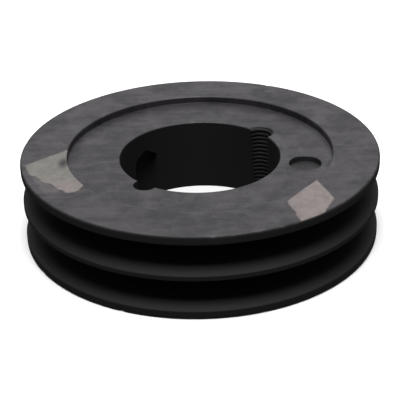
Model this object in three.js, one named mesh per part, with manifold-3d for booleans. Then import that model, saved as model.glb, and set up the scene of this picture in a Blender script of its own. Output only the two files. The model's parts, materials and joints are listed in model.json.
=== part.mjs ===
import * as THREE from "three";
import { mergeVertices } from "three/addons/utils/BufferGeometryUtils.js";
import Module from "manifold-3d";

// Two-groove V belt pulley for a tapered clamping bush, millimetres, bore axis on Z,
// standing on the face where the bush goes in. It is one machined grey-iron casting.

const DEG = Math.PI / 180;

// V grooves and rim
const DATUM_DIAMETER = 140;
const DATUM_WIDTH = 11;
const ABOVE_DATUM = 2.75;
const BELOW_DATUM = 11;
const GROOVE_ANGLE = 38 * DEG;
const GROOVE_COUNT = 2;
// The lands left between and beside the groove mouths give the section's 15 mm pitch.
const MIDDLE_LAND = 2.1062;
const EDGE_LAND = 3.5531;
const LAND_CORNER = 0.4;
const RIM_CHAMFER = 0.6;

// Tapered bore, and the shallow recess turned in the upper face, inside the rim
const BORE_LARGE_DIAMETER = 69.85;
const BORE_HALF_TAPER = 4 * DEG;
const BORE_CHAMFER = 0.3;
const RIM_WALL = 5.15;
const RECESS_DEPTH = 3;
const RECESS_FILLET = 1.2;
const RECESS_FILLET_STEPS = 3;

// Half holes round the bore: two tapped through, one plain and blind between them
const HOLE_CIRCLE_INSET = 1.585;
const JACK_AZIMUTH = 134 * DEG;
const TAP_FROM_JACK = 95.25 * DEG;
const TAP_DIAMETER = 11.11;
const TAP_PITCH = 25.4 / 14;
const TAP_FLANK_ANGLE = 27.5 * DEG;
const JACK_DIAMETER = 12.2;
const JACK_DEPTH = 20;
const JACK_POINT_HALF_ANGLE = 59 * DEG;

// Balance hole sunk shallow in the recess floor with a flat-ended cutter
const BALANCE_DIAMETER = 12.9;
const BALANCE_AZIMUTH = -13.1 * DEG;
const BALANCE_DEPTH = 2.5;

const RING_STEPS = 72;
const HOLE_STEPS = 24;
const OVERRUN = 1;

const RIM_RADIUS = DATUM_DIAMETER / 2 + ABOVE_DATUM;
const GROOVE_FLOOR_RADIUS = DATUM_DIAMETER / 2 - BELOW_DATUM;
const GROOVE_MOUTH = 2 * grooveHalfWidth(RIM_RADIUS);
const GROOVE_PITCH = GROOVE_MOUTH + MIDDLE_LAND;
const RIM_WIDTH = 2 * EDGE_LAND + GROOVE_COUNT * GROOVE_PITCH - MIDDLE_LAND;
const RECESS_RADIUS = GROOVE_FLOOR_RADIUS - RIM_WALL;
const HUB_LENGTH = RIM_WIDTH - RECESS_DEPTH;
const BORE_LARGE_RADIUS = BORE_LARGE_DIAMETER / 2;
const BORE_SMALL_RADIUS = BORE_LARGE_RADIUS - HUB_LENGTH * Math.tan(BORE_HALF_TAPER);
const HOLE_CIRCLE_RADIUS = BORE_LARGE_RADIUS - HOLE_CIRCLE_INSET;
const BALANCE_CIRCLE_RADIUS = (BORE_SMALL_RADIUS + RECESS_RADIUS) / 2;

const wasm = await Module();
wasm.setup();

// A closed three.js surface as a manifold solid.
function solid(geometry) {
  const bare = new THREE.BufferGeometry();
  bare.setAttribute("position", geometry.getAttribute("position"));
  if (geometry.index) bare.setIndex(geometry.index);
  const merged = mergeVertices(bare, 1e-4);
  return new wasm.Manifold(new wasm.Mesh({
    numProp: 3,
    vertProperties: new Float32Array(merged.getAttribute("position").array),
    triVerts: new Uint32Array(merged.index.array),
  }));
}

// Half the width of a groove at a radius.
function grooveHalfWidth(radius) {
  return DATUM_WIDTH / 2 + (radius - DATUM_DIAMETER / 2) * Math.tan(GROOVE_ANGLE / 2);
}

// The turned section as [radius, height] points, outer side first, closed on itself.
function turnedSection() {
  const points = [
    [BORE_LARGE_RADIUS + BORE_CHAMFER, 0],
    [RIM_RADIUS - RIM_CHAMFER, 0],
    [RIM_RADIUS, RIM_CHAMFER],
  ];
  const mouth = GROOVE_MOUTH / 2;
  const floor = grooveHalfWidth(GROOVE_FLOOR_RADIUS);
  const cut = RIM_RADIUS - LAND_CORNER;
  for (let i = 0; i < GROOVE_COUNT; i += 1) {
    const middle = EDGE_LAND + mouth + i * GROOVE_PITCH;
    points.push(
      [RIM_RADIUS, middle - mouth - LAND_CORNER],
      [cut, middle - grooveHalfWidth(cut)],
      [GROOVE_FLOOR_RADIUS, middle - floor],
      [GROOVE_FLOOR_RADIUS, middle + floor],
      [cut, middle + grooveHalfWidth(cut)],
      [RIM_RADIUS, middle + mouth + LAND_CORNER],
    );
  }
  points.push(
    [RIM_RADIUS, RIM_WIDTH - RIM_CHAMFER],
    [RIM_RADIUS - RIM_CHAMFER, RIM_WIDTH],
    [RECESS_RADIUS, RIM_WIDTH],
  );
  for (let i = 0; i <= RECESS_FILLET_STEPS; i += 1) {
    const turn = (i / RECESS_FILLET_STEPS) * Math.PI / 2;
    points.push([
      RECESS_RADIUS - RECESS_FILLET * (1 - Math.cos(turn)),
      HUB_LENGTH + RECESS_FILLET * (1 - Math.sin(turn)),
    ]);
  }
  points.push(
    [BORE_SMALL_RADIUS + BORE_CHAMFER, HUB_LENGTH],
    [BORE_SMALL_RADIUS, HUB_LENGTH - BORE_CHAMFER],
    [BORE_LARGE_RADIUS, BORE_CHAMFER],
    [BORE_LARGE_RADIUS + BORE_CHAMFER, 0],
  );
  return points;
}

// A closed turned solid from [radius, height] points, axis on Z.
function turned(points, steps) {
  const section = points.map(([radius, height]) => new THREE.Vector2(radius, height));
  return solid(new THREE.LatheGeometry(section, steps).rotateX(Math.PI / 2));
}

// A cutter pushed up from a height to its full depth, with a conical point beyond it.
function drill(diameter, from, to, pointLength) {
  const radius = diameter / 2;
  return turned([
    [0, from],
    [radius, from],
    [radius, to],
    [0, to + pointLength],
  ], HOLE_STEPS);
}

// The space a tap cuts: a helical V groove with flat crests, run out past both hub faces.
function tap() {
  const major = TAP_DIAMETER / 2;
  const minor = major - TAP_PITCH / 2;
  const flank = (major - minor) * Math.tan(TAP_FLANK_ANGLE);
  const rootFlat = TAP_PITCH / 8;
  const steps = [
    [0, minor],
    [TAP_PITCH - 2 * flank - rootFlat, minor],
    [TAP_PITCH - flank - rootFlat, major],
    [TAP_PITCH - flank, major],
  ];
  const turns = Math.ceil((HUB_LENGTH + 2 * OVERRUN) / TAP_PITCH) + 1;
  const rows = turns * steps.length;
  const start = -OVERRUN - TAP_PITCH;
  const positions = [];
  const faces = [];
  const vertex = (radius, angle, height) => {
    positions.push(radius * Math.cos(angle), radius * Math.sin(angle), height);
    return positions.length / 3 - 1;
  };
  const columns = [];
  for (let j = 0; j < HOLE_STEPS; j += 1) {
    const angle = (j / HOLE_STEPS) * 2 * Math.PI;
    const column = [];
    const last = j === 0 ? rows + steps.length : rows;
    for (let i = 0; i <= last; i += 1) {
      const [rise, radius] = steps[i % steps.length];
      const height = (Math.floor(i / steps.length) + j / HOLE_STEPS) * TAP_PITCH + rise;
      column.push(vertex(radius, angle, start + height));
    }
    columns.push(column);
  }
  const endRing = (height) => columns.map((_, j) => (
    vertex(minor, (j / HOLE_STEPS) * 2 * Math.PI, height)));
  const bottom = endRing(start - OVERRUN);
  const top = endRing(start + (turns + 1) * TAP_PITCH + OVERRUN);
  const bottomCentre = vertex(0, 0, start - OVERRUN);
  const topCentre = vertex(0, 0, start + (turns + 1) * TAP_PITCH + OVERRUN);
  columns.push(columns[0].slice(steps.length));
  bottom.push(bottom[0]);
  top.push(top[0]);
  for (let j = 0; j < HOLE_STEPS; j += 1) {
    const near = columns[j].slice(0, rows + 1);
    const far = columns[j + 1].slice(0, rows + 1);
    for (let i = 0; i < rows; i += 1) {
      faces.push(near[i], far[i], far[i + 1], near[i], far[i + 1], near[i + 1]);
    }
    faces.push(bottom[j], bottom[j + 1], far[0], bottom[j], far[0], near[0]);
    faces.push(near[rows], far[rows], top[j + 1], near[rows], top[j + 1], top[j]);
    faces.push(bottomCentre, bottom[j + 1], bottom[j]);
    faces.push(topCentre, top[j], top[j + 1]);
  }
  // The flat faces where the groove begins and ends.
  for (let i = 0; i < steps.length; i += 1) {
    faces.push(bottom[0], columns[0][i], columns[0][i + 1]);
    faces.push(top[0], columns[0][rows + i + 1], columns[0][rows + i]);
  }
  const geometry = new THREE.BufferGeometry();
  geometry.setAttribute("position", new THREE.Float32BufferAttribute(positions, 3));
  geometry.setIndex(faces);
  return solid(geometry);
}

// A point on a circle round the bore axis.
function around(radius, azimuth) {
  return [radius * Math.cos(azimuth), radius * Math.sin(azimuth)];
}

let body = turned(turnedSection(), RING_STEPS);
const tapTool = tap();
for (const side of [-1, 1]) {
  const [x, y] = around(HOLE_CIRCLE_RADIUS, JACK_AZIMUTH + side * TAP_FROM_JACK);
  body = body.subtract(tapTool.translate(x, y, 0));
}
const [jackX, jackY] = around(HOLE_CIRCLE_RADIUS, JACK_AZIMUTH);
const jackPoint = JACK_DIAMETER / 2 / Math.tan(JACK_POINT_HALF_ANGLE);
const jackDrill = drill(JACK_DIAMETER, -OVERRUN, JACK_DEPTH, jackPoint);
body = body.subtract(jackDrill.translate(jackX, jackY, 0));
const [balanceX, balanceY] = around(BALANCE_CIRCLE_RADIUS, BALANCE_AZIMUTH);
const balanceCutter = drill(BALANCE_DIAMETER, -OVERRUN, BALANCE_DEPTH, 0)
  .rotate(180, 0, 0)
  .translate(balanceX, balanceY, HUB_LENGTH);
body = body.subtract(balanceCutter);

const { vertProperties, triVerts } = body.getMesh();
const geometry = new THREE.BufferGeometry();
geometry.setAttribute("position", new THREE.Float32BufferAttribute(vertProperties, 3));
geometry.setIndex(new THREE.Uint32BufferAttribute(triVerts, 1));
geometry.computeVertexNormals();

const iron = new THREE.MeshStandardMaterial({ color: 0x3a383b, roughness: 0.55, metalness: 0.6 });
const pulley = new THREE.Mesh(geometry, iron);
pulley.name = "pulley_body";

const group = new THREE.Group();
group.name = "v_belt_pulley";
group.add(pulley);
export default group;
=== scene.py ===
import json
import math

import bpy
import numpy as np
from bpy.props import FloatProperty, IntProperty, PointerProperty, StringProperty
from mathutils import Matrix, Vector


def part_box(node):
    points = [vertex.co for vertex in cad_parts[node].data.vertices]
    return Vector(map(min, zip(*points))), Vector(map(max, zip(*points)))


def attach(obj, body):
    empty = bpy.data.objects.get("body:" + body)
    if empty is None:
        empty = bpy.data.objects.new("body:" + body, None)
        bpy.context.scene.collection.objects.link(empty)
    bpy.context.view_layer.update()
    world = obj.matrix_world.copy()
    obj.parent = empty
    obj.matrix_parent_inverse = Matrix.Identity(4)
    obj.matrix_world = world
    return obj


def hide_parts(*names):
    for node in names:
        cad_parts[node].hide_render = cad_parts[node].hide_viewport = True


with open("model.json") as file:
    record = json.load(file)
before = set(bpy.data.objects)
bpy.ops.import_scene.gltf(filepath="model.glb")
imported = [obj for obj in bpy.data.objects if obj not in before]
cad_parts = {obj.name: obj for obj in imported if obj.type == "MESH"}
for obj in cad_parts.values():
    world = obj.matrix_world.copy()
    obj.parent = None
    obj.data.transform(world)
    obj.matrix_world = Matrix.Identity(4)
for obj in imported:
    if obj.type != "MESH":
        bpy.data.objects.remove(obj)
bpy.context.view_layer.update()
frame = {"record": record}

bl_info = {
    "name": "V belt pulley",
    "version": (1, 0, 0),
    "blender": (4, 5, 0),
    "location": "3D View > Sidebar > Pulley",
    "description": "Two-groove V belt pulley body bored for a taper bush, with its studio",
    "category": "Object",
}

NODE = "pulley_body"
MM = 0.001
LOW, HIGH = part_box(NODE)
MOUNTS = {mount["name"]: mount for mount in frame["record"]["mounts"]}
RIM_RADIUS = (HIGH[0] - LOW[0]) / 2
RIM_WIDTH = HIGH[2]
HUB_LENGTH = MOUNTS["hub_top_face"]["pos_m"][2]

BORE_MOUTH = 0.3 * MM  # chamfer at each mouth of the bore
DRILL_POINT = math.radians(59)  # half the angle of a drill's point
OVERRUN = MM  # how far outside the iron a cutting tool starts
# Countersinks: how much wider than its hole each is at OVERRUN outside the face, and how
# deep it reaches.
TAP_FLARE, TAP_SINK = 1.55 * MM, 0.85 * MM
JACK_FLARE, JACK_SINK = 1.3 * MM, 0.3 * MM
BALANCE_FLARE, BALANCE_SINK = 1.2 * MM, 0.2 * MM
BALANCE_CORNER, BALANCE_CORNER_CUT = 0.4 * MM, 0.12 * MM  # softening at its flat end
KNOCK_REACH = 1.6 * MM  # how far from a corner a knock is felt

SIDE_ROUGHNESS = 0.74
IRON_SPECULAR = 0.3
# How large the marks on the iron are.
BLOTCH, FLECK, STREAK, CLOUD = 15 * MM, 4 * MM, 3 * MM, 9 * MM
FEED, CRYSTAL, PORE = 0.9 * MM, 0.35 * MM, 1.3 * MM
WIPED_TURN, WIPED_STRETCH = math.radians(28), 0.2
WORN_REACH = 0.7 * MM  # how far from a rim corner the iron is worn bare

# Knocks on the outer corners: azimuth in degrees, height, width along the corner in mm and
# depth in mm.
KNOCKS = (
    (-87, RIM_WIDTH, 1.6, 0.35), (-84.5, RIM_WIDTH, 0.9, 0.3), (-81.5, RIM_WIDTH, 1.3, 0.28),
    (-115, 0, 0.9, 0.5), (171, RIM_WIDTH, 0.8, 0.25), (-20, RIM_WIDTH, 1.1, 0.2),
    (64, RIM_WIDTH, 1.0, 0.3), (118, 0, 1.4, 0.35), (12, 0, 1.0, 0.3), (-150, 0, 1.2, 0.25),
    (-62, RIM_WIDTH, 0.7, 0.2), (205, RIM_WIDTH, 1.2, 0.22), (152, 0, 0.8, 0.3),
)

# Patches of dry film on the rim face. Each has its strength and its edges: a point on the
# edge in mm, the direction in degrees that points out of the patch, and the fraying in mm.
FILM_PATCHES = (
    (1.0, (((-62, -4.6), 130.5, 1.2), ((-69.2, -14), 197, 6), ((-61.5, -25), 222, 8),
           ((-54, -34.4), 241, 4), ((-49.6, -35.8), 279, 2), ((-47.3, -34.6), 308, 1),
           ((-46.3, -32.6), 338, 1))),
    (1.0, (((38.5, -38.5), 145, 1), ((46.5, -36.4), 18, 1.2), ((47, -52), 336, 3),
           ((33.5, -53), 192, 4))),
    (0.25, (((-66, -22), 205, 6), ((-57, -35), 260, 5), ((-60, -20), 80, 6),
            ((-56, -30), 20, 5))),
    (0.35, (((-55.9, 7.9), 45, 0.5), ((-56.3, 7.5), 225, 0.5), ((-54.2, 6.4), 315, 0.5),
            ((-57.6, 9.6), 135, 0.5))),
)
FILM_EDGE = 0.45 * MM  # half the width over which a patch fades out
SMEAR_SPOT = (-54.6, -10)  # where a thumb has taken the film off, in mm
SMEAR_SQUASH = 0.42  # the width of the smear as a share of its length
SMEAR_INNER, SMEAR_OUTER = 0.4 * MM, 3.2 * MM

FLOOR_REACH = 4.0
WORLD_BRIGHTNESS = 0.12
WHITE = (1, 1, 1)
# Soft boxes: name, place, aim, width and height in metres, brightness and colour. The last
# one is a weaker twin of the key box, for the far side.
SOFT_BOXES = (
    ("back box", (0, 1.18, 0.94), (0, 0, 0.05), 1.9, 1.4, 1.0, (1, 0.985, 1)),
    ("key box", (0, -0.42, 1.28), (0, 0, 0), 0.8, 0.5, 15.5, WHITE),
    ("rear key box", (0, 0.42, 1.28), (0, 0, 0), 0.8, 0.5, 6, WHITE),
)

CAMERA_TILT = math.radians(27.882)
CAMERA_ROLL = math.radians(-1.578)
CAMERA_DISTANCE = 0.507
CAMERA_AIM = Vector((-0.44 * MM, 0, RIM_WIDTH - 23.65 * MM))
CAMERA_LENS, CAMERA_SENSOR = 109.74, 36


# ---------------------------------------------------------------- sizes and colours

class PulleySizes(bpy.types.PropertyGroup):
    """Sizes of the turned and drilled features; the overall size comes from the frame."""

    above_datum: FloatProperty(
        name="Above datum", description="Groove depth above the datum width",
        default=2.75 * MM, unit="LENGTH")
    below_datum: FloatProperty(
        name="Below datum", description="Groove depth below the datum width",
        default=11 * MM, unit="LENGTH")
    datum_width: FloatProperty(
        name="Datum width", description="Groove width at the datum diameter",
        default=11 * MM, unit="LENGTH")
    groove_angle: FloatProperty(
        name="Groove angle", description="Angle between the two flanks of a groove",
        default=math.radians(38), subtype="ANGLE")
    groove_count: IntProperty(
        name="Grooves", description="Number of V grooves", default=2)
    groove_pitch: FloatProperty(
        name="Groove pitch", description="Distance between groove centres",
        default=15 * MM, unit="LENGTH")
    land_radius: FloatProperty(
        name="Land radius", description="Rounding of the groove mouths",
        default=0.5 * MM, unit="LENGTH")
    floor_radius: FloatProperty(
        name="Floor radius", description="Rounding at the foot of a groove",
        default=0.5 * MM, unit="LENGTH")
    recess_chamfer: FloatProperty(
        name="Recess chamfer", description="Chamfer round the mouth of the recess",
        default=0.35 * MM, unit="LENGTH")
    rim_rounding: FloatProperty(
        name="Rim rounding", description="Rounding of the two outer edges of the rim",
        default=1.0 * MM, unit="LENGTH")
    edge_radius: FloatProperty(
        name="Edge radius", description="Softening of every other turned edge",
        default=0.15 * MM, unit="LENGTH")
    bore_diameter: FloatProperty(
        name="Bore diameter", description="Large end of the tapered bore",
        default=69.85 * MM, unit="LENGTH")
    bore_taper: FloatProperty(
        name="Bore taper", description="Angle of the bore wall to the axis",
        default=math.radians(4), subtype="ANGLE")
    rim_wall: FloatProperty(
        name="Rim wall", description="Iron left between groove floor and recess",
        default=5.15 * MM, unit="LENGTH")
    recess_fillet: FloatProperty(
        name="Recess fillet", description="Rounding at the foot of the recess wall",
        default=0.25 * MM, unit="LENGTH")
    hole_inset: FloatProperty(
        name="Hole inset", description="From the bore's large radius in to the screw circle",
        default=1.585 * MM, unit="LENGTH")
    jack_azimuth: FloatProperty(
        name="Jack azimuth", description="Direction of the plain blind half hole",
        default=math.radians(134), subtype="ANGLE")
    tap_from_jack: FloatProperty(
        name="Tap spread", description="Angle from the blind half hole to each tapped one",
        default=math.radians(95.25), subtype="ANGLE")
    tap_diameter: FloatProperty(
        name="Thread diameter", description="Major diameter of the tapped half holes",
        default=11.11 * MM, unit="LENGTH")
    tap_pitch: FloatProperty(
        name="Thread pitch", description="Distance between turns of the thread",
        default=25.4 / 14 * MM, unit="LENGTH")
    tap_plain: FloatProperty(
        name="Plain mouth", description="Length without thread at the top of the second tap",
        default=3 * MM, unit="LENGTH")
    jack_diameter: FloatProperty(
        name="Jack diameter", description="Diameter of the plain blind half hole",
        default=12.2 * MM, unit="LENGTH")
    jack_depth: FloatProperty(
        name="Jack depth", description="Full depth of the plain blind half hole",
        default=20 * MM, unit="LENGTH")
    balance_diameter: FloatProperty(
        name="Balance diameter", description="Diameter of the balance hole",
        default=12.9 * MM, unit="LENGTH")
    balance_azimuth: FloatProperty(
        name="Balance azimuth", description="Direction of the balance hole",
        default=math.radians(-13.1), subtype="ANGLE")
    balance_depth: FloatProperty(
        name="Balance depth", description="Full depth of the balance hole",
        default=2.5 * MM, unit="LENGTH")
    ring_steps: IntProperty(
        name="Ring steps", description="Steps round the turned body", default=720)


class PulleyColours(bpy.types.PropertyGroup):
    """Surface colours as sRGB hex."""

    side: StringProperty(
        name="Side", description="Phosphated iron on the rim, grooves and bore",
        default="191919")
    # Lighter than the side colour, partly a real finish difference and partly painted light on
    # the up-facing turned faces.
    face: StringProperty(
        name="Face", description="Phosphated iron on the turned faces",
        default="212023")
    face_warm: StringProperty(
        name="Face, warm", description="Purple-brown bloom on the turned faces",
        default="322e32")
    face_grey: StringProperty(
        name="Face, grey", description="Rubbed grey areas of the turned faces",
        default="3a3a3b")
    bare: StringProperty(
        name="Bare iron", description="Iron where the film has worn through on an edge",
        default="6e6a68")
    pit: StringProperty(
        name="Pit", description="Open graphite pores", default="0a0a0a")
    residue: StringProperty(
        name="Residue", description="Dry pale film left on the rim face",
        default="6b6964")
    residue_warm: StringProperty(
        name="Residue, warm", description="Pinkish part of the pale film",
        default="766e6c")
    floor: StringProperty(
        name="Floor", description="Pale studio floor", default="fafafa")


def linear(hex_colour):
    """An sRGB hex colour as linear RGBA."""
    values = [int(hex_colour[i:i + 2], 16) / 255 for i in (0, 2, 4)]
    return [v / 12.92 if v <= 0.04045 else ((v + 0.055) / 1.055) ** 2.4 for v in values] + [1.0]


# ---------------------------------------------------------------- mesh making

def rounded(corners, steps=5):
    """Section corners (radius, height, rounding) as points, each corner an arc."""
    points = []
    count = len(corners)
    for i, (radius, height, rounding) in enumerate(corners):
        here = Vector((radius, height))
        if not rounding:
            points.append(here)
            continue
        back = (Vector(corners[i - 1][:2]) - here).normalized()
        ahead = (Vector(corners[(i + 1) % count][:2]) - here).normalized()
        half = back.angle(ahead) / 2
        centre = here + (back + ahead).normalized() * rounding / math.sin(half)
        start = here + back * rounding / math.tan(half) - centre
        end = here + ahead * rounding / math.tan(half) - centre
        turn = math.atan2(start.x * end.y - start.y * end.x, start.dot(end))
        for k in range(steps + 1):
            a = turn * k / steps
            points.append(centre + Vector((
                start.x * math.cos(a) - start.y * math.sin(a),
                start.x * math.sin(a) + start.y * math.cos(a))))
    return points


def mesh_object(name, vertices, faces):
    """A new object in the scene from points and faces."""
    mesh = bpy.data.meshes.new(name)
    mesh.from_pydata(vertices, [], faces)
    mesh.validate()
    made = bpy.data.objects.new(name, mesh)
    bpy.context.scene.collection.objects.link(made)
    return made


def turned_ring(name, section, steps, shape=None):
    """A closed section turned round Z; shape may move the points as an array."""
    section = np.array([tuple(p) for p in section])
    count = len(section)
    angle = np.arange(steps) * 2 * math.pi / steps
    points = np.empty((count, steps, 3))
    points[:, :, 0] = section[:, 0, None] * np.cos(angle)
    points[:, :, 1] = section[:, 0, None] * np.sin(angle)
    points[:, :, 2] = section[:, 1, None]
    if shape is not None:
        shape(points)
    faces = []
    for i in range(count):
        above = (i + 1) % count
        for j in range(steps):
            beside = (j + 1) % steps
            faces.append((i * steps + j, i * steps + beside,
                          above * steps + beside, above * steps + j))
    return mesh_object(name, points.reshape(-1, 3).tolist(), faces)


def turned_tool(name, section, steps=64):
    """A cutting tool turned round Z: the section starts and ends on the axis."""
    angle = [2 * math.pi * j / steps for j in range(steps)]
    rings = section[1:-1]
    vertices = [(0, 0, section[0][1])]
    for radius, height in rings:
        vertices += [(radius * math.cos(a), radius * math.sin(a), height) for a in angle]
    vertices.append((0, 0, section[-1][1]))
    last = len(vertices) - 1
    faces = []
    for j in range(steps):
        beside = (j + 1) % steps
        faces.append((0, 1 + beside, 1 + j))
        for i in range(len(rings) - 1):
            low, high = 1 + i * steps, 1 + (i + 1) * steps
            faces.append((low + j, low + beside, high + beside, high + j))
        high = 1 + (len(rings) - 1) * steps
        faces.append((last, high + j, high + beside))
    return mesh_object(name, vertices, faces)


def tap_tool(name, major, pitch, length, plain, columns=48):
    """The space a tap cuts: a rounded helical groove, run out past both ends, or stopped
    below the top to leave a plain mouth."""
    minor = major - pitch / 2
    flank = (major - minor) * math.tan(math.radians(27.5))
    root = pitch / 8
    crest = pitch - 2 * flank - root
    soft = 0.18 * (major - minor)
    turn = [
        (0.0, minor), (crest * 0.5, minor), (crest, minor + soft * 0.3),
        (crest + flank * 0.22, minor + soft * 1.2), (crest + flank * 0.8, major - soft),
        (crest + flank, major - soft * 0.2), (crest + flank + root * 0.5, major),
        (crest + flank + root, major - soft * 0.2), (crest + flank * 1.2 + root, major - soft),
        (crest + flank * 1.78 + root, minor + soft * 1.2),
    ]
    per = len(turn)
    turns = math.ceil(length / pitch) + 3 - (math.ceil(plain / pitch) + 1 if plain else 0)
    rows = turns * per
    start = -2.5 * pitch
    vertices, faces, ring = [], [], []

    def point(radius, angle, height):
        vertices.append((radius * math.cos(angle), radius * math.sin(angle), height))
        return len(vertices) - 1

    for j in range(columns):
        angle = 2 * math.pi * j / columns
        last = rows + per if j == 0 else rows
        ring.append([
            point(turn[i % per][1], angle,
                  start + (i // per + j / columns) * pitch + turn[i % per][0])
            for i in range(last + 1)])
    low, high = start - pitch, start + (turns + 2) * pitch + 2 * plain
    bottom = [point(minor, 2 * math.pi * j / columns, low) for j in range(columns)]
    top = [point(minor, 2 * math.pi * j / columns, high) for j in range(columns)]
    bottom_centre, top_centre = point(0, 0, low), point(0, 0, high)
    ring.append(ring[0][per:])
    bottom.append(bottom[0])
    top.append(top[0])
    for j in range(columns):
        near, far = ring[j], ring[j + 1]
        for i in range(rows):
            faces.append((near[i], far[i], far[i + 1], near[i + 1]))
        faces.append((bottom[j], bottom[j + 1], far[0], near[0]))
        faces.append((near[rows], far[rows], top[j + 1], top[j]))
        faces.append((bottom_centre, bottom[j + 1], bottom[j]))
        faces.append((top_centre, top[j], top[j + 1]))
    for i in range(per):
        faces.append((bottom[0], ring[0][i], ring[0][i + 1]))
        faces.append((top[0], ring[0][rows + i + 1], ring[0][rows + i]))
    return mesh_object(name, vertices, faces)


def place(tool, radius, azimuth, height=0.0, flip=False):
    """Moves a tool to a point round the bore axis; flip turns it to point down."""
    spot = Matrix.Translation((radius * math.cos(azimuth), radius * math.sin(azimuth), height))
    tool.data.transform(spot @ (Matrix.Rotation(math.pi, 4, "X") if flip else Matrix()))
    return tool


def cut(piece, tools):
    """Cuts the tools out of the piece and removes them."""
    for tool in tools:
        step = piece.modifiers.new(tool.name, "BOOLEAN")
        step.operation = "DIFFERENCE"
        step.solver = "MANIFOLD"
        step.object = tool
    apply_modifiers(piece)
    for tool in tools:
        bpy.data.objects.remove(tool)


def apply_modifiers(piece):
    """Bakes the piece's modifiers into its mesh."""
    bpy.context.view_layer.update()
    baked = bpy.data.meshes.new_from_object(
        piece.evaluated_get(bpy.context.evaluated_depsgraph_get()))
    piece.modifiers.clear()
    piece.data = baked


def smooth(piece, angle):
    """Smooth shading that stays crisp past an angle and flat on the flats."""
    mesh = piece.data
    mesh.polygons.foreach_set("use_smooth", [True] * len(mesh.polygons))
    mesh.set_sharp_from_angle(angle=math.radians(angle))
    even = piece.modifiers.new("even normals", "WEIGHTED_NORMAL")
    even.keep_sharp = True
    apply_modifiers(piece)


# ---------------------------------------------------------------- materials

def add(tree, kind, inputs=None, output=0, **settings):
    """Adds a node: inputs take a value or another node's output, settings are the node's
    own. Gives back one of its outputs."""
    made = tree.nodes.new("ShaderNode" + kind)
    for name, value in settings.items():
        setattr(made, name, value)
    for key, value in (inputs or {}).items():
        if isinstance(value, bpy.types.NodeSocket):
            tree.links.new(value, made.inputs[key])
        else:
            made.inputs[key].default_value = value
    return made.outputs[output] if made.outputs else None


def new_material(name):
    """An empty node material and its tree."""
    material = bpy.data.materials.new(name)
    material.use_nodes = True
    material.node_tree.nodes.clear()
    return material, material.node_tree


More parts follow.
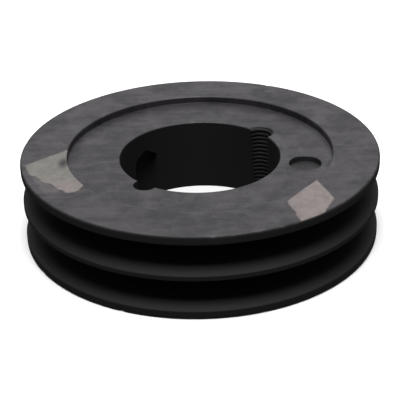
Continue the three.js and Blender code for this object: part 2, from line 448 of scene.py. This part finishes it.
def phosphated_iron(colours, corners, balance_floor, balance_reach):
    """Grey iron turned on a lathe and black phosphated. To the eye it is nearly black with
    a satin sheen at low angles, a fine crystal tooth, faint feed rings round the axis, a
    dusty purple-grey bloom on the flat faces, and a little bare iron on the outer corners.
    The turned faces and the floor of the balance hole are coloured lighter than the sides,
    partly for a real difference in finish and partly as painted light falling from above."""
    material, tree = new_material("phosphated grey iron, as turned")
    where = add(tree, "TexCoord", output="Object")
    z = add(tree, "SeparateXYZ", {0: where}, output="Z")
    flat = add(tree, "VectorMath", {0: where, 1: (1, 1, 0)}, operation="MULTIPLY")
    radius = add(tree, "VectorMath", {0: flat}, output="Value", operation="LENGTH")

    # The turned flat faces: recess floor and rim face above, and the underside. They take
    # the lighter face colour, which on the faces above is partly painted light from above.
    above = add(tree, "MapRange", {
        "Value": z, "From Min": HUB_LENGTH - 0.6 * MM, "From Max": HUB_LENGTH - 0.2 * MM})
    inward = add(tree, "MapRange", {
        "Value": radius, "From Min": RIM_RADIUS - 0.2 * MM, "From Max": RIM_RADIUS - 0.6 * MM})
    under = add(tree, "MapRange", {"Value": z, "From Min": 0.3 * MM, "From Max": 0.05 * MM})
    face = add(tree, "Math", {0: above, 1: inward, 2: under}, operation="MULTIPLY_ADD",
               use_clamp=True)
    # The up-facing floor of the balance hole takes part of the lighter face colour: painted
    # light from above.
    sunk = add(tree, "VectorMath", {0: where, 1: balance_floor}, output="Value",
               operation="DISTANCE")
    drilled = add(tree, "MapRange", {
        "Value": sunk, "From Min": balance_reach + MM, "From Max": balance_reach + 0.7 * MM,
        "To Max": 0.6})
    face = add(tree, "Math", {0: face, 1: drilled}, operation="MAXIMUM")

    # Bloom: blotches 15 mm and 4 mm across, and streaks where it was wiped one way.
    blotch = add(tree, "TexNoise", {
        "Vector": where, "Scale": 1 / BLOTCH, "Detail": 4, "Roughness": 0.6,
        "Distortion": 0.5})
    fleck = add(tree, "TexNoise", {
        "Vector": where, "Scale": 1 / FLECK, "Detail": 5, "Roughness": 0.65})
    wiped = add(tree, "Mapping", {
        "Vector": where, "Rotation": (0, 0, WIPED_TURN),
        "Scale": (WIPED_STRETCH, 1, 1)})
    streak = add(tree, "TexNoise", {
        "Vector": wiped, "Scale": 1 / STREAK, "Detail": 4, "Roughness": 0.6})
    bloom = add(tree, "Math", {0: streak, 1: 0.28, 2: add(tree, "Math", {
        0: blotch, 1: 0.52, 2: add(tree, "Math", {0: fleck, 1: 0.2}, operation="MULTIPLY"),
    }, operation="MULTIPLY_ADD")}, operation="MULTIPLY_ADD")
    warm = add(tree, "MapRange", {"Value": bloom, "From Min": 0.42, "From Max": 0.58},
               interpolation_type="SMOOTHSTEP")
    cloud = add(tree, "TexNoise", {
        "Vector": where, "Scale": 1 / CLOUD, "Detail": 5, "Roughness": 0.7,
        "Distortion": 0.4})
    grey = add(tree, "MapRange", {
        "Value": cloud, "From Min": 0.5, "From Max": 0.68, "To Max": 0.7},
        interpolation_type="SMOOTHSTEP")

    # Feed rings, drawn 0.9 mm apart because the real 0.2 mm would not show.
    feed = add(tree, "Math", {0: radius, 1: z}, operation="ADD")
    ring = add(tree, "TexNoise", {
        "W": add(tree, "Math", {0: feed, 1: FEED}, operation="DIVIDE"), "Scale": 1,
        "Detail": 2, "Roughness": 0.5}, noise_dimensions="1D")
    crystal = add(tree, "TexNoise", {
        "Vector": where, "Scale": 1 / CRYSTAL, "Detail": 2, "Roughness": 0.6})
    pore = add(tree, "TexNoise", {
        "Vector": where, "Scale": 1 / PORE, "Detail": 3, "Roughness": 0.6})
    pit = add(tree, "MapRange", {"Value": pore, "From Min": 0.66, "From Max": 0.8})

    # Bare iron on the outer corners, broken up so that it comes and goes.
    section = add(tree, "CombineXYZ", {"X": radius, "Y": z})
    worn = 0.0
    for corner_radius, corner_height, reach in corners:
        far = add(tree, "VectorMath", {0: section, 1: (corner_radius, corner_height, 0)},
                  output="Value", operation="DISTANCE")
        near = add(tree, "MapRange", {
            "Value": far, "From Min": reach, "From Max": reach * 0.25})
        worn = add(tree, "Math", {0: worn, 1: near}, operation="MAXIMUM")
    rubbed = add(tree, "MapRange", {
        "Value": fleck, "From Min": 0.56, "From Max": 0.72, "To Max": 0.3})
    wear = add(tree, "Math", {0: worn, 1: rubbed}, operation="MULTIPLY")

    film, film_warm = pale_film(tree, where)
    face_iron_painted_lighter = add(tree, "Mix", {
        0: warm, 6: linear(colours.face), 7: linear(colours.face_warm)},
        output=2, data_type="RGBA")
    face_iron_painted_lighter = add(tree, "Mix", {0: grey, 6: face_iron_painted_lighter, 7: linear(colours.face_grey)},
                    output=2, data_type="RGBA")
    # Dark sides, lighter turned faces: the step between them is partly a finish difference and
    # partly painted light from above.
    colour = add(tree, "Mix", {0: face, 6: linear(colours.side), 7: face_iron_painted_lighter},
                 output=2, data_type="RGBA")
    colour = add(tree, "Mix", {
        0: add(tree, "Math", {0: pit, 1: 0.6}, operation="MULTIPLY"),
        6: colour, 7: linear(colours.pit)}, output=2, data_type="RGBA")
    dry = add(tree, "Mix", {
        0: film_warm, 6: linear(colours.residue), 7: linear(colours.residue_warm)},
        output=2, data_type="RGBA")
    colour = add(tree, "Mix", {0: film, 6: colour, 7: dry}, output=2, data_type="RGBA")
    colour = add(tree, "Mix", {0: wear, 6: colour, 7: linear(colours.bare)},
                 output=2, data_type="RGBA")

    # Smoother where the faces were wiped, rougher on the sides and under the dry film.
    rough = add(tree, "MapRange", {
        "Value": bloom, "From Min": 0.4, "From Max": 0.6, "To Min": 0.58, "To Max": 0.4})
    rough = add(tree, "Mix", {0: face, 2: SIDE_ROUGHNESS, 3: rough})
    rough = add(tree, "Math", {0: film, 1: 0.25, 2: rough}, operation="MULTIPLY_ADD",
                use_clamp=True)
    height = add(tree, "Math", {0: ring, 1: 0.5, 2: crystal}, operation="MULTIPLY_ADD")
    height = add(tree, "Math", {0: pit, 1: -1.2, 2: height}, operation="MULTIPLY_ADD")
    normal = add(tree, "Bump", {"Strength": 0.3, "Distance": 0.03 * MM, "Height": height})
    shader = add(tree, "BsdfPrincipled", {
        "Base Color": colour, "Roughness": rough, "Normal": normal,
        "Specular IOR Level": IRON_SPECULAR})
    add(tree, "OutputMaterial", {0: shader})
    return material


def pale_film(tree, where):
    """Where a dry pale film lies on the rim face, and where it turns pinkish. Each patch is
    what is left inside a few straight edges, frayed where the film broke away."""
    noise = add(tree, "TexNoise", {
        "Vector": where, "Scale": 1 / (5 * MM), "Detail": 6, "Roughness": 0.7}, output=1)
    fray = add(tree, "VectorMath", {0: noise, 1: (0.5, 0.5, 0.5)}, operation="SUBTRACT")
    covered = 0.0
    for strength, edges in FILM_PATCHES:
        inside = strength
        for (x, y), outward, ragged in edges:
            a = math.radians(outward)
            moved = add(tree, "VectorMath", {0: fray, 1: [ragged * MM] * 3, 2: where},
                        operation="MULTIPLY_ADD")
            reach = add(tree, "VectorMath", {0: moved, 1: (math.cos(a), math.sin(a), 0)},
                        output="Value", operation="DOT_PRODUCT")
            edge = (x * math.cos(a) + y * math.sin(a)) * MM
            within = add(tree, "MapRange", {
                "Value": reach, "From Min": edge + FILM_EDGE, "From Max": edge - FILM_EDGE},
                interpolation_type="SMOOTHSTEP")
            inside = add(tree, "Math", {0: inside, 1: within}, operation="MULTIPLY")
        covered = add(tree, "Math", {0: covered, 1: inside}, operation="MAXIMUM")
    broken = add(tree, "TexNoise", {
        "Vector": where, "Scale": 1 / (2.6 * MM), "Detail": 5, "Roughness": 0.7})
    density = add(tree, "MapRange", {
        "Value": broken, "From Min": 0.3, "From Max": 0.65, "To Min": 0.62, "To Max": 1.0})
    # A thumb's smear has taken the film off beside the recess.
    thumb = add(tree, "VectorMath", {0: where, 1: (1, SMEAR_SQUASH, 0)},
                operation="MULTIPLY")
    x, y = SMEAR_SPOT
    off = add(tree, "VectorMath", {0: thumb, 1: (x * MM, y * SMEAR_SQUASH * MM, 0)},
              output="Value", operation="DISTANCE")
    kept = add(tree, "MapRange", {
        "Value": off, "From Min": SMEAR_INNER, "From Max": SMEAR_OUTER},
        interpolation_type="SMOOTHSTEP")
    density = add(tree, "Math", {0: density, 1: kept}, operation="MULTIPLY")
    height = add(tree, "SeparateXYZ", {0: where}, output="Z")
    on_rim = add(tree, "MapRange", {
        "Value": height, "From Min": RIM_WIDTH - 0.4 * MM, "From Max": RIM_WIDTH - 0.1 * MM})
    film = add(tree, "Math", {
        0: add(tree, "Math", {0: covered, 1: density}, operation="MULTIPLY"), 1: on_rim},
        operation="MULTIPLY")
    across = add(tree, "SeparateXYZ", {0: where}, output="Y")
    warm = add(tree, "MapRange", {"Value": across, "From Min": -22 * MM, "From Max": -32 * MM})
    return film, warm


def pale_floor(colours):
    """Matt white-painted board: no gloss, the faintest tooth."""
    material, tree = new_material("matt white board")
    where = add(tree, "TexCoord", output="Object")
    tooth = add(tree, "TexNoise", {"Vector": where, "Scale": 1 / (2 * MM), "Detail": 2})
    normal = add(tree, "Bump", {"Strength": 0.05, "Distance": 0.05 * MM, "Height": tooth})
    shader = add(tree, "BsdfPrincipled", {
        "Base Color": linear(colours.floor), "Roughness": 0.9, "Normal": normal,
        "Specular IOR Level": 0.1})
    add(tree, "OutputMaterial", {0: shader})
    return material


# ---------------------------------------------------------------- the pulley

def half_width(sizes, radius):
    """Half the width of a groove at a radius."""
    datum = RIM_RADIUS - sizes.above_datum
    return sizes.datum_width / 2 + (radius - datum) * math.tan(sizes.groove_angle / 2)


def groove_middles(sizes):
    """Heights of the groove centres."""
    first = (RIM_WIDTH - (sizes.groove_count - 1) * sizes.groove_pitch) / 2
    return [first + i * sizes.groove_pitch for i in range(sizes.groove_count)]


def bore_radius(sizes, height):
    """Radius of the tapered bore at a height."""
    return sizes.bore_diameter / 2 - height * math.tan(sizes.bore_taper)


def pulley_section(sizes):
    """The turned section as corners, from the bore's foot outwards and round."""
    floor = RIM_RADIUS - sizes.above_datum - sizes.below_datum
    recess = floor - sizes.rim_wall
    edge = sizes.edge_radius
    mouth, foot = half_width(sizes, RIM_RADIUS), half_width(sizes, floor)
    corners = [
        (bore_radius(sizes, 0) + BORE_MOUTH, 0, edge),
        (RIM_RADIUS, 0, sizes.rim_rounding),
    ]
    for middle in groove_middles(sizes):
        corners += [
            (RIM_RADIUS, middle - mouth, sizes.land_radius),
            (floor, middle - foot, sizes.floor_radius),
            (floor, middle + foot, sizes.floor_radius),
            (RIM_RADIUS, middle + mouth, sizes.land_radius),
        ]
    corners += [
        (RIM_RADIUS, RIM_WIDTH, sizes.rim_rounding),
        (recess + sizes.recess_chamfer, RIM_WIDTH, edge),
        (recess, RIM_WIDTH - sizes.recess_chamfer, edge),
        (recess, HUB_LENGTH, sizes.recess_fillet),
        (bore_radius(sizes, HUB_LENGTH) + BORE_MOUTH, HUB_LENGTH, edge * 0.7),
        (bore_radius(sizes, HUB_LENGTH), HUB_LENGTH - BORE_MOUTH, edge * 0.7),
        (bore_radius(sizes, 0), BORE_MOUTH, edge * 0.7),
    ]
    return corners


def nicked(points):
    """Knocks on the outer corners: each takes a shallow dent out of one corner."""
    azimuth = np.arctan2(points[:, :, 1], points[:, :, 0])
    radius = np.hypot(points[:, :, 0], points[:, :, 1])
    for degrees, height, width, depth in KNOCKS:
        turn = np.angle(np.exp(1j * (azimuth - math.radians(degrees))))
        along = turn * RIM_RADIUS / (width * MM)
        off = np.hypot(radius - RIM_RADIUS, points[:, :, 2] - height) / KNOCK_REACH
        dent = depth * MM * np.exp(-along ** 2) * np.clip(1 - off, 0, 1)
        inward = dent / np.maximum(radius, MM)
        points[:, :, 0] -= points[:, :, 0] * inward
        points[:, :, 1] -= points[:, :, 1] * inward
        points[:, :, 2] += dent * (1 if height == 0 else -1) * 0.8


class PULLEY_OT_casting(bpy.types.Operator):
    """Turns, drills and taps the pulley body and gives it its phosphated finish"""

    bl_idname = "pulley.casting"
    bl_label = "Pulley body"

    def execute(self, context):
        sizes, colours = context.scene.pulley_sizes, context.scene.pulley_colours
        corners = pulley_section(sizes)
        body = turned_ring("pulley_casting", rounded(corners), sizes.ring_steps, nicked)
        circle = sizes.bore_diameter / 2 - sizes.hole_inset
        major = sizes.tap_diameter / 2
        minor = major - sizes.tap_pitch / 2
        tools = []
        # One tap is countersunk in the upper face, the other has a short plain mouth there.
        for side, plain, ends in ((-1, 0, ((HUB_LENGTH, True), (0, False))),
                                  (1, sizes.tap_plain, ((0, False),))):
            azimuth = sizes.jack_azimuth + side * sizes.tap_from_jack
            tools.append(place(tap_tool(
                f"tap {side}", major, sizes.tap_pitch, HUB_LENGTH, plain), circle, azimuth))
            for height, flip in ends:
                sink = [(0, -OVERRUN), (major + TAP_FLARE, -OVERRUN),
                        (minor - 0.1 * MM, TAP_SINK), (0, TAP_SINK)]
                tools.append(place(turned_tool(f"sink {side} {height}", sink),
                                   circle, azimuth, height, flip))
        jack = sizes.jack_diameter / 2
        tools.append(place(turned_tool("jack drill", [
            (0, -OVERRUN), (jack + JACK_FLARE, -OVERRUN), (jack, JACK_SINK),
            (jack, sizes.jack_depth), (0, sizes.jack_depth + jack / math.tan(DRILL_POINT))]),
            circle, sizes.jack_azimuth))
        balance = sizes.balance_diameter / 2
        recess = RIM_RADIUS - sizes.above_datum - sizes.below_datum - sizes.rim_wall
        middle = (bore_radius(sizes, HUB_LENGTH) + recess) / 2
        tools.append(place(turned_tool("balance drill", [
            (0, -OVERRUN), (balance + BALANCE_FLARE, -OVERRUN), (balance, BALANCE_SINK),
            (balance, sizes.balance_depth - BALANCE_CORNER),
            (balance - BALANCE_CORNER_CUT, sizes.balance_depth - BALANCE_CORNER_CUT),
            (balance - BALANCE_CORNER, sizes.balance_depth), (0, sizes.balance_depth)]),
            middle, sizes.balance_azimuth, HUB_LENGTH, True))
        cut(body, tools)
        smooth(body, 32)
        inset = sizes.rim_rounding / 3
        worn = [(RIM_RADIUS - inset, height, WORN_REACH)
                for height in (inset, RIM_WIDTH - inset)]
        body.data.materials.clear()
        balance_floor = (middle * math.cos(sizes.balance_azimuth),
                         middle * math.sin(sizes.balance_azimuth),
                         HUB_LENGTH - sizes.balance_depth)
        body.data.materials.append(phosphated_iron(colours, worn, balance_floor, balance))
        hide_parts(NODE)
        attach(body, "root")
        return {"FINISHED"}


# ---------------------------------------------------------------- the stage

def area_light(name, spot, aim, width, height, brightness, colour):
    """A soft box whose face has this brightness, aimed at a point."""
    lamp = bpy.data.lights.new(name, "AREA")
    lamp.shape = "RECTANGLE"
    lamp.size, lamp.size_y = width, height
    lamp.energy = brightness * math.pi * width * height
    lamp.color = colour
    made = bpy.data.objects.new(name, lamp)
    made.location = spot
    made.rotation_mode = "QUATERNION"
    made.rotation_quaternion = (Vector(aim) - Vector(spot)).to_track_quat("-Z", "Y")
    made.visible_camera = False
    bpy.context.scene.collection.objects.link(made)


class PULLEY_OT_stage(bpy.types.Operator):
    """Lays the pale floor, hangs the soft boxes and sets up the camera"""

    bl_idname = "pulley.stage"
    bl_label = "Studio"

    def execute(self, context):
        scene = context.scene
        side = FLOOR_REACH
        floor = mesh_object("floor", [
            (-side, -side, 0), (side, -side, 0), (side, side, 0), (-side, side, 0)],
            [(0, 1, 2, 3)])
        floor.data.materials.append(pale_floor(scene.pulley_colours))
        floor.visible_diffuse = floor.visible_glossy = False

        for soft_box in SOFT_BOXES:
            area_light(*soft_box)

        world = bpy.data.worlds.new("studio")
        world.use_nodes = True
        ground = world.node_tree.nodes["Background"]
        ground.inputs["Color"].default_value = (1, 1, 1, 1)
        ground.inputs["Strength"].default_value = WORLD_BRIGHTNESS
        scene.world = world
        scene.view_settings.view_transform = "Standard"

        roll = CAMERA_ROLL
        ahead = Vector((0, math.cos(CAMERA_TILT), -math.sin(CAMERA_TILT)))
        right = Vector((1, 0, 0))
        up = right.cross(ahead)
        leaned_right = math.cos(roll) * right + math.sin(roll) * up
        leaned_up = -math.sin(roll) * right + math.cos(roll) * up
        lens = bpy.data.cameras.new("camera")
        lens.sensor_width = CAMERA_SENSOR
        lens.lens = CAMERA_LENS
        camera = bpy.data.objects.new("camera", lens)
        turn = Matrix((leaned_right, leaned_up, -ahead)).transposed().to_4x4()
        spot = CAMERA_AIM - ahead * CAMERA_DISTANCE
        camera.matrix_world = Matrix.Translation(spot) @ turn
        scene.collection.objects.link(camera)
        scene.camera = camera
        return {"FINISHED"}


class PULLEY_PT_panel(bpy.types.Panel):
    """Sidebar panel with the sizes, colours and steps"""

    bl_idname = "PULLEY_PT_panel"
    bl_label = "V belt pulley"
    bl_space_type = "VIEW_3D"
    bl_region_type = "UI"
    bl_category = "Pulley"

    def draw(self, context):
        layout = self.layout
        for group in (context.scene.pulley_sizes, context.scene.pulley_colours):
            box = layout.box()
            for name in group.__annotations__:
                box.prop(group, name)
        layout.operator(PULLEY_OT_casting.bl_idname)
        layout.operator(PULLEY_OT_stage.bl_idname)


CLASSES = (PulleySizes, PulleyColours, PULLEY_OT_casting, PULLEY_OT_stage, PULLEY_PT_panel)


def register():
    """Registers the classes and puts the settings on the scene."""
    for each in CLASSES:
        bpy.utils.register_class(each)
    bpy.types.Scene.pulley_sizes = PointerProperty(type=PulleySizes)
    bpy.types.Scene.pulley_colours = PointerProperty(type=PulleyColours)


def unregister():
    """Takes the settings and classes away again."""
    del bpy.types.Scene.pulley_colours
    del bpy.types.Scene.pulley_sizes
    for each in reversed(CLASSES):
        bpy.utils.unregister_class(each)


def main():
    """Builds everything in order."""
    register()
    bpy.ops.pulley.casting()
    bpy.ops.pulley.stage()
    bpy.context.view_layer.update()


if __name__ == "__main__":
    main()
